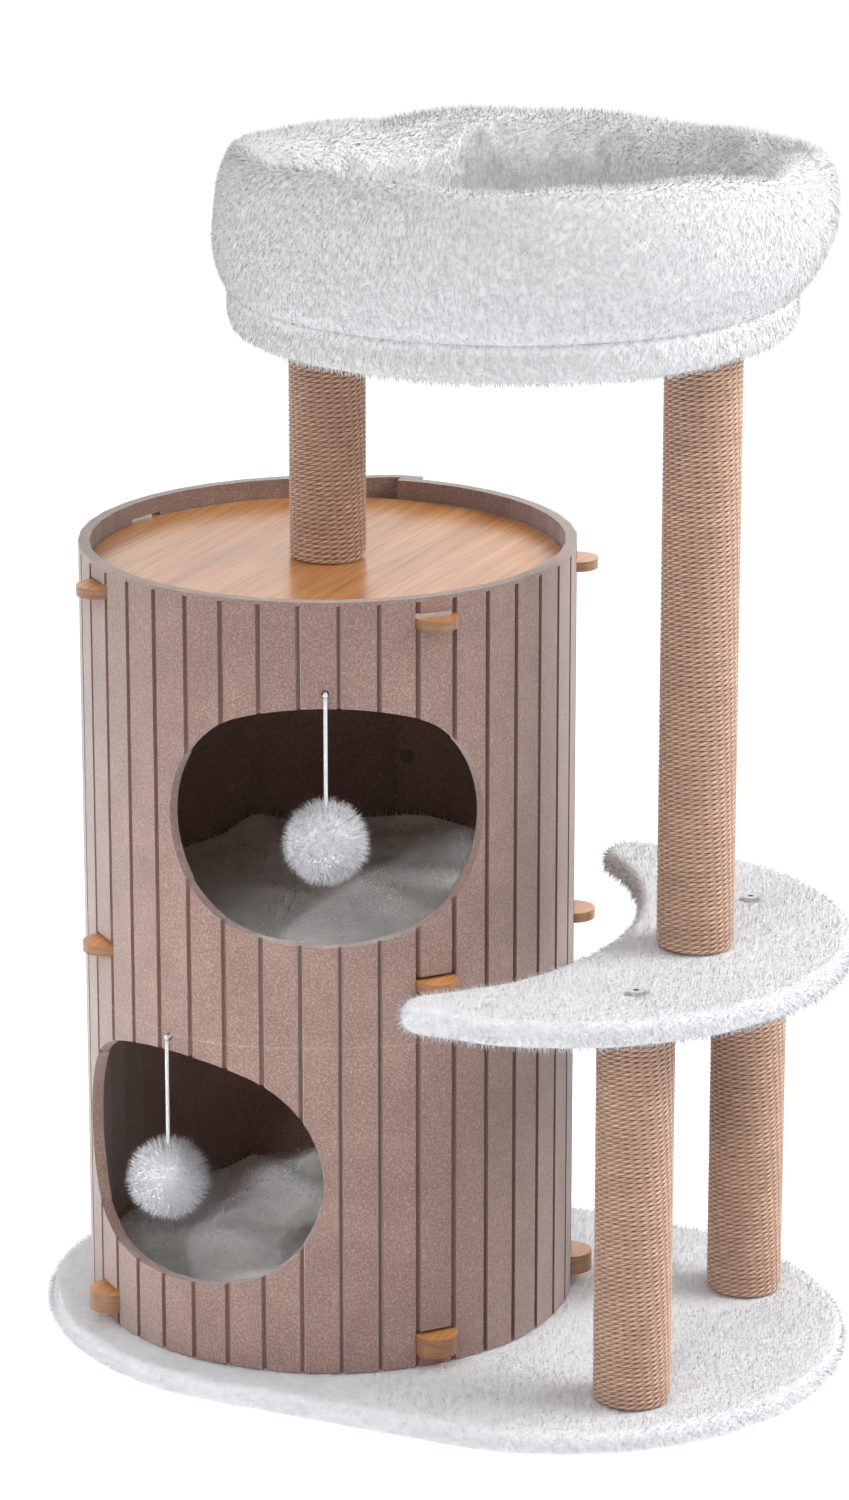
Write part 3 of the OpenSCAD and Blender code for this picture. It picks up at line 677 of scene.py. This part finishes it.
# The sheet was once folded across for packing; the mark runs round below the middle board
crease_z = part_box("middle_board")[0].z - 0.045
crease_wander = 0.012
crease_width = 0.0009
felt_face = felt("pressed_felt", 1.0)
# The bevelled edges take a lighter copy of the felt: a painted highlight where the fibres on the edges catch
# the light
edge_highlight_felt = felt("painted_highlight_felt_rim", 2.2)

# The floor of a groove lies between these radii, under the face of the felt
groove_floor = (0.1955, 0.1993)
shape = bmesh.new()
shape.from_mesh(frame["nodes"]["felt_wall"].data)
bmesh.ops.remove_doubles(shape, verts=shape.verts, dist=0.00002)
bmesh.ops.dissolve_limit(shape, angle_limit=math.radians(0.6), verts=shape.verts, edges=shape.edges)
# The groove layer marks the groove floors, where the felt paints its shade
groove = shape.faces.layers.float.new("groove")
for face in shape.faces:
    spot = face.calc_center_median().to_2d() - Vector((den_x, 0))
    outward = face.normal.to_2d().dot(spot.normalized())
    face[groove] = 1.0 if groove_floor[0] < spot.length < groove_floor[1] and outward > 0.2 else 0.0
    face.smooth = False
barrel_mesh = bpy.data.meshes.new("felt_barrel")
shape.to_mesh(barrel_mesh)
shape.free()
barrel = bpy.data.objects.new("felt_barrel", barrel_mesh)
scene.collection.objects.link(barrel)
barrel_mesh.materials.append(felt_face)
barrel_mesh.materials.append(edge_highlight_felt)
soften = barrel.modifiers.new("soft_edges", "BEVEL")
soften.width = 0.0017
soften.segments = 2
soften.limit_method = "ANGLE"
soften.angle_limit = math.radians(38)
# The bevel's faces take the lighter felt: painted highlight along every edge
soften.material = 1
settle(barrel)
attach(barrel, "tree")
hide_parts("felt_wall")

rivet_brown = two_tone("brown_rivet", 500.0, (0.14, 0.09, 0.075), (0.19, 0.125, 0.105), Roughness=0.5)[0]
paint_nodes(rivet_brown, "lap_rivets")


# ---- Posts ----
# Four paper tubes, each plugged with wood at both ends and wound with three-strand jute rope.
# The rope is glued on turn against turn, from end to end.

paper = two_tone("kraft_paper_tube", 300.0, (0.34, 0.23, 0.14), (0.44, 0.31, 0.20), 4.0, (1, 1, 0.2),
                 Roughness=0.8)[0]
paint_nodes(paper, "den_post_tube", "front_post_tube", "back_post_tube", "tall_post_tube")

jute, jute_tree, jute_shader = new_material("jute_rope", Roughness=0.7, Sheen_Weight=0.5, Sheen_Roughness=0.4,
                                            Specular_IOR_Level=0.5)
fibre = mottle(jute_tree, 260.0, 5.0, (1.0, 1.0, 7.0))
strand_tone = ramp(jute_tree, fibre,
                   [(0.3, (0.46, 0.275, 0.18)), (0.5, (0.68, 0.445, 0.32)), (0.7, (0.84, 0.62, 0.49))])
age = ramp(jute_tree, mottle(jute_tree, 30.0, 3.0, (1, 1, 2.5)),
           [(0.3, (0.86, 0.84, 0.82)), (0.7, (1.05, 1.05, 1.05))])
# The valleys between the strands are painted dark brown: painted shade
between = add(jute_tree, "ShaderNodeAttribute", attribute_name="valley").outputs["Fac"]
colour_with(jute_tree, jute_shader, mix(jute_tree, between, mix(jute_tree, 1.0, strand_tone, age, "MULTIPLY"),
                                        (0.23, 0.11, 0.062, 1)))
rough_up(jute_tree, jute_shader, fibre, 0.0005)


def rope_winding():
    """Tree that winds a twisted three-strand rope round a post, turn against turn."""
    tree, given = new_tree("rope_winding", [
        ("Nothing", "Geometry"), ("Turns", "Float"), ("Steps", "Int"), ("Radius", "Float"),
        ("Height", "Float"), ("Rope radius", "Float"), ("Lay", "Float"), ("Place", "Vector"),
        ("Finish", "Material")])
    coil = add(tree, "GeometryNodeCurveSpiral",
               {"Resolution": given["Steps"], "Rotations": given["Turns"], "Start Radius": given["Radius"],
                "End Radius": given["Radius"], "Height": given["Height"]})
    coil = add(tree, "GeometryNodeSetCurveNormal", {"Curve": coil.outputs["Curve"]})
    run = add(tree, "GeometryNodeSplineParameter")
    twist = maths(tree, "MULTIPLY", maths(tree, "DIVIDE", run.outputs["Length"], given["Lay"]), 2 * math.pi)
    coil = add(tree, "GeometryNodeSetCurveTilt", {"Curve": coil.outputs[0], "Tilt": twist})
    # The rope's section: nine points, and every third one is the valley between two strands
    section = add(tree, "GeometryNodeCurvePrimitiveCircle", {"Resolution": 9, "Radius": given["Rope radius"]})
    number = add(tree, "GeometryNodeInputIndex").outputs[0]
    valley = maths(tree, "LESS_THAN", maths(tree, "MODULO", number, 3.0), 0.5)
    place = add(tree, "GeometryNodeInputPosition").outputs[0]
    lobed = scaled(tree, place, maths(tree, "MULTIPLY_ADD", valley, -0.36, 1.0))
    lobes = add(tree, "GeometryNodeSetPosition", {"Geometry": section.outputs["Curve"], "Position": lobed})
    # The valley mark is where the rope's finish paints its shade between the strands
    lobes = add(tree, "GeometryNodeStoreNamedAttribute",
                {"Geometry": lobes.outputs[0], "Name": "valley", "Value": valley}, data_type="FLOAT")
    rope = add(tree, "GeometryNodeCurveToMesh",
               {"Curve": coil.outputs[0], "Profile Curve": lobes.outputs[0], "Fill Caps": True})
    moved = add(tree, "GeometryNodeTransform", {"Geometry": rope.outputs[0], "Translation": given["Place"]})
    smooth = add(tree, "GeometryNodeSetShadeSmooth", {"Geometry": moved.outputs["Geometry"]})
    whole = add(tree, "GeometryNodeRealizeInstances", {"Geometry": smooth.outputs["Geometry"]})
    close_tree(tree, whole.outputs["Geometry"], given["Finish"])
    return tree


winding_tree = rope_winding()
rope_pitch = 0.004
# Length of rope in which its strands go round once; minus turns them the other way
rope_lay = -0.021
for post in ("front_post", "back_post", "tall_post", "den_post"):
    low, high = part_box(post + "_jute")
    axis = (low + high) / 2
    height = high.z - low.z - rope_pitch
    winding = new_piece(post + "_winding", [], [])
    run_tree(winding, winding_tree, Turns=height / rope_pitch, Steps=76,
             Radius=(high.x - low.x) / 2 - rope_pitch / 2, Height=height,
             Rope_radius=rope_pitch * 0.515, Lay=rope_lay,
             Place=(axis.x, axis.y, low.z + rope_pitch / 2), Finish=jute)
    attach(winding, "tree")
    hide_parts(post + "_jute")


# ---- Crescent step ----
# A crescent of particle board wrapped all round in white plush, bolted down on the two lower posts.
# The bolt heads and washers sit in dimples that they press into the plush.

step_low, step_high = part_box("step_plush")
horn_radius = 0.023
step_gap = 0.055
inner_radius = den_radius + step_gap
reach_in = inner_radius + horn_radius
reach_out = end_radius - horn_radius
horn_x = (reach_in ** 2 - reach_out ** 2 + span ** 2) / (2 * span)
horn_y = math.sqrt(reach_in ** 2 - horn_x ** 2)


def step_outline(inset):
    """The step's outline: the base's end outside, a curve round the den inside, and round horns."""
    out_turn = math.degrees(math.atan2(horn_x - span, horn_y))
    in_turn = math.degrees(math.atan2(horn_x, horn_y))
    tip = horn_radius - inset
    loop = arc((span, 0), end_radius - inset, out_turn, 180 - out_turn, outline_step)
    loop += arc((horn_x, horn_y), tip, 180 - out_turn, 360 - in_turn, small_step)
    loop += arc((0, 0), inner_radius + inset, 180 - in_turn, in_turn, outline_step)
    loop += arc((horn_x, -horn_y), tip, in_turn - 180, out_turn, small_step)
    return [spot + Vector((den_x, 0)) for spot in loop]


bolt_hole_radius = 0.0066
step_holes = []
for post in ("front_post", "back_post"):
    low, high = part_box(post + "_jute")
    step_holes.append((((low + high) / 2).to_2d(), bolt_hole_radius))
step_skin = covered_board("step_cover", step_outline, top=step_high.z - pile_room,
                          bottom=step_low.z + pile_room, edge=0.008, foot=0.008, spacing=0.007,
                          closed=True, holes=step_holes, sag=0.0003)
thicken(step_skin, cloth_thickness)


def step_pile(place, normal):
    """Pile stands all over the outside of the step, thinner below, and none inside the cloth."""
    below = step_low.z + 0.0045
    if place.z < below and normal.z < -0.5:
        return 0.35
    inner = below < place.z < step_high.z - 0.0035 and abs(normal.z) > 0.75
    return 0.0 if inner else 1.0


def step_reach(place, normal):
    """The pile is brushed flat on top and hangs long at the side."""
    return 0.8 if normal.z > 0.7 else 1.15


set_pile(step_skin, step_pile, step_reach)
run_tree(step_skin, pile_tree, Hairs=185000.0, Length=0.0062, Width=0.00036, Curl=0.0015, Bends=1,
         Mess=0.36, Lie=1.0, Lie_size=26.0, Droop=0.5, Seed=31, Finish=plush_white)
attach(step_skin, "tree")
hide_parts("step_plush")


# ---- Bed ----
# A round board with a thin foam, in a plush tray; a stuffed plush bolster is sewn to the tray's rim.
# A loose round cushion fills the bottom of the bowl.

foam = two_tone("white_foam", 900.0, (0.74, 0.74, 0.72), (0.84, 0.84, 0.82), Roughness=0.9)[0]
paint_nodes(foam, "bed_foam")

tray_low, tray_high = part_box("bed_cover")
bed_x = (tray_low.x + tray_high.x) / 2
tray_radius = (tray_high.x - tray_low.x) / 2
bolster_low, bolster_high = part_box("bed_bolster")


def revolve(name, profile, count):
    """Turns a profile of (radius, height) points round the bed's axis; a zero radius is a pole."""
    points, faces = [], []
    rows = []
    for radius, height in profile:
        if radius == 0:
            rows.append([len(points)])
            points.append(Vector((bed_x, 0, height)))
            continue
        rows.append(list(range(len(points), len(points) + count)))
        for i in range(count):
            spot = around(radius, 360 * i / count)
            points.append(Vector((bed_x + spot.x, spot.y, height)))
    for low, high in zip(rows, rows[1:]):
        for i in range(count):
            j = (i + 1) % count
            if len(low) == 1:
                faces.append((low[0], high[j], high[i]))
            elif len(high) == 1:
                faces.append((low[i], low[j], high[0]))
            else:
                faces.append((low[i], low[j], high[j], high[i]))
    return new_piece(name, points, faces)


tray_edge = 0.014
tray_floor = tray_low.z + 0.001
tray_profile = [(0, tray_floor)] + [(0.024 * i, tray_floor) for i in range(1, 9)]
tray_profile += [(tray_radius - pile_room - tray_edge * (1 - math.sin(math.radians(a))),
                  tray_floor + tray_edge * (1 - math.cos(math.radians(a)))) for a in range(0, 91, 15)]
tray_profile += [(tray_radius - pile_room, tray_floor + tray_edge + 0.006 * i) for i in (1, 2, 3)]
tray = revolve("bed_tray_cover", tray_profile, count=220)
for vert in tray.data.vertices:
    out = (vert.co.to_2d() - Vector((bed_x, 0))).length / tray_radius
    vert.co.z += noise.noise(vert.co * 18) * 0.0012
    ripple = 1 + noise.noise(Vector((vert.co.x * 16, vert.co.y * 16, 4))) * 0.006 * out
    vert.co.x = bed_x + (vert.co.x - bed_x) * ripple
    vert.co.y *= ripple
thicken(tray, cloth_thickness)


def tray_pile(place, normal):
    """Pile stands on the outside of the tray, thinner on its underside."""
    out = (place.to_2d() - Vector((bed_x, 0))).length
    inner = normal.z > 0.5 or (out > 0.1 and normal.to_2d().dot(place.to_2d() - Vector((bed_x, 0))) < -0.05)
    if inner:
        return 0.0
    return 0.35 if normal.z < -0.7 else 1.0


bolster_white = white_pile("bolster_plush", (0.845, 0.85, 0.86), (0.815, 0.82, 0.83), 45.0, 0.0003)
set_pile(tray, tray_pile, lambda place, normal: 1.15)
run_tree(tray, pile_tree, Hairs=250000.0, Length=0.0055, Width=0.00045, Curl=0.0, Bends=1,
         Mess=0.35, Lie=0.8, Lie_size=9.0, Droop=1.5, Seed=41, Finish=bolster_white)
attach(tray, "tree")
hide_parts("bed_cover")


def bolster_profile(count):
    """The bolster's section as (radius, height), from the seam out and over to the seam inside."""
    width = 0.056
    bulge = 0.020
    # Shares of the height: up to where the bulge grows, from where the top rounds over, and what is left
    full = 0.45
    shoulder = 0.55
    crown = 0.45
    roundness = 2.2
    outer, inner = [], []
    for i in range(count + 1):
        share = math.sin(math.pi / 2 * i / count)
        over = max(0.0, (share - shoulder) / crown)
        half = width / 2 * (1 - over ** roundness) ** (1 / roundness)
        middle = tray_radius - width / 2 + bulge * (1 - (1 - min(share / full, 1)) ** 2)
        height = bolster_low.z + (bolster_high.z - bolster_low.z) * share
        outer.append((middle + half, height))
        inner.append((middle - half, height))
    # Both sides meet in one point at the top, which counts once
    return outer + inner[-2::-1]


def swell(piece, pins, pressure, most, frames=20):
    """Blows a closed cloth piece up a little, holding its pins, and caps how far a point may move."""
    start = [v.co.copy() for v in piece.data.vertices]
    held = piece.vertex_groups.new(name="sewn")
    held.add(pins, 1.0, "REPLACE")
    cloth = piece.modifiers.new("cloth", "CLOTH")
    cloth.settings.use_pressure = True
    cloth.settings.uniform_pressure_force = pressure
    cloth.settings.effector_weights.gravity = 0
    cloth.settings.vertex_group_mass = "sewn"
    cloth.settings.tension_stiffness = 12
    cloth.settings.compression_stiffness = 12
    cloth.settings.bending_stiffness = 0.4
    cloth.point_cache.frame_end = frames
    for step in range(1, frames + 1):
        scene.frame_set(step)
    settle(piece)
    piece.vertex_groups.clear()
    for vert, spot in zip(piece.data.vertices, start):
        move = vert.co - spot
        if move.length > most:
            vert.co = spot + move * (most / move.length)
    scene.frame_set(1)


# The section starts a little thin, because the stuffing then swells it
bolster_middle = tray_radius - 0.014
shrunk = [(bolster_middle + (r - bolster_middle) * 0.93, z) for r, z in bolster_profile(16)]
seam_width = shrunk[0][0] - shrunk[-1][0]
loop = shrunk + [(shrunk[-1][0] + seam_width * k / 5, shrunk[0][1]) for k in (1, 2, 3, 4)]
around_count = 210
# The stuffed ring has slipped a little to one side, and stands highest a quarter turn from there
slip_turn = math.radians(24)
slip = Vector((math.cos(slip_turn), math.sin(slip_turn))) * 0.010
front_rise = 0.014
points, faces = [], []
for i in range(around_count):
    turn = 360 * i / around_count
    facing_turn = math.radians(turn) - slip_turn
    lift = (front_rise * math.cos(facing_turn) - 0.002 * math.sin(facing_turn)
            - 0.002 * math.cos(3 * facing_turn) + 0.001)
    for r, z in loop:
        share = max(0.0, (z - bolster_low.z) / (bolster_high.z - bolster_low.z))
        lump = noise.noise(Vector((math.cos(math.radians(turn)) * 2.2,
                                   math.sin(math.radians(turn)) * 2.2, z * 14)))
        spot = around(r + lump * 0.004 * share, turn) + slip * min(share * 2, 1)
        points.append(Vector((bed_x + spot.x, spot.y, z + (lift + lump * 0.003) * share)))
count = len(loop)
for i in range(around_count):
    j = (i + 1) % around_count
    for k in range(count):
        n = (k + 1) % count
        faces.append((i * count + k, j * count + k, j * count + n, i * count + n))
bolster = new_piece("bed_bolster_cover", points, faces)
sewn = [i * count + k for i in range(around_count) for k in [0] + list(range(len(shrunk) - 1, count))]
swell(bolster, sewn, pressure=4.0, most=0.012)
set_pile(bolster, lambda place, normal: 0.0 if place.z < bolster_low.z + 0.006 and normal.z < -0.5 else 1.0)
run_tree(bolster, pile_tree, Hairs=290000.0, Length=0.0058, Width=0.00045, Curl=0.0, Bends=1,
         Mess=0.35, Lie=0.8, Lie_size=9.0, Droop=1.5, Seed=51, Finish=bolster_white)
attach(bolster, "tree")
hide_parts("bed_bolster")

cushion_low, cushion_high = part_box("bed_cushion")
cushion_radius = (cushion_high.x - cushion_low.x) / 2
thick = cushion_high.z - cushion_low.z
ring_gap = 0.0155
dome = 0.004
cushion_top = cushion_high.z - 0.003
under = [(ring_gap * i, cushion_low.z + 0.001) for i in range(10)]
side = []
for rise in (-70, -40, -10, 0, 15, 40, 70):
    pull = thick * 0.4 * (1 - math.cos(math.radians(rise))) * (1 if rise > 0 else 0.4)
    side.append((cushion_radius + 0.002 - pull,
                 cushion_low.z + thick * 0.42 + thick * 0.40 * math.sin(math.radians(rise))))
over = [(ring_gap * i, cushion_top - dome * (ring_gap * i / cushion_radius) ** 2) for i in range(9, -1, -1)]
cushion = revolve("bed_cushion_pad", under + side + over, count=130)
swell(cushion, [0], pressure=3.0, most=0.004, frames=12)
for vert in cushion.data.vertices:
    if vert.co.z > cushion_low.z + thick * 0.5:
        vert.co.z += noise.noise(vert.co * 14) * 0.004
set_pile(cushion, lambda place, normal: 1.0 if normal.z > -0.2 else 0.0)
run_tree(cushion, pile_tree, Hairs=210000.0, Length=0.007, Width=0.0004, Curl=0.002, Bends=1,
         Mess=0.5, Lie=1.7, Lie_size=30.0, Droop=0.0, Seed=61, Finish=bolster_white)
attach(cushion, "tree")
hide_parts("bed_cushion")
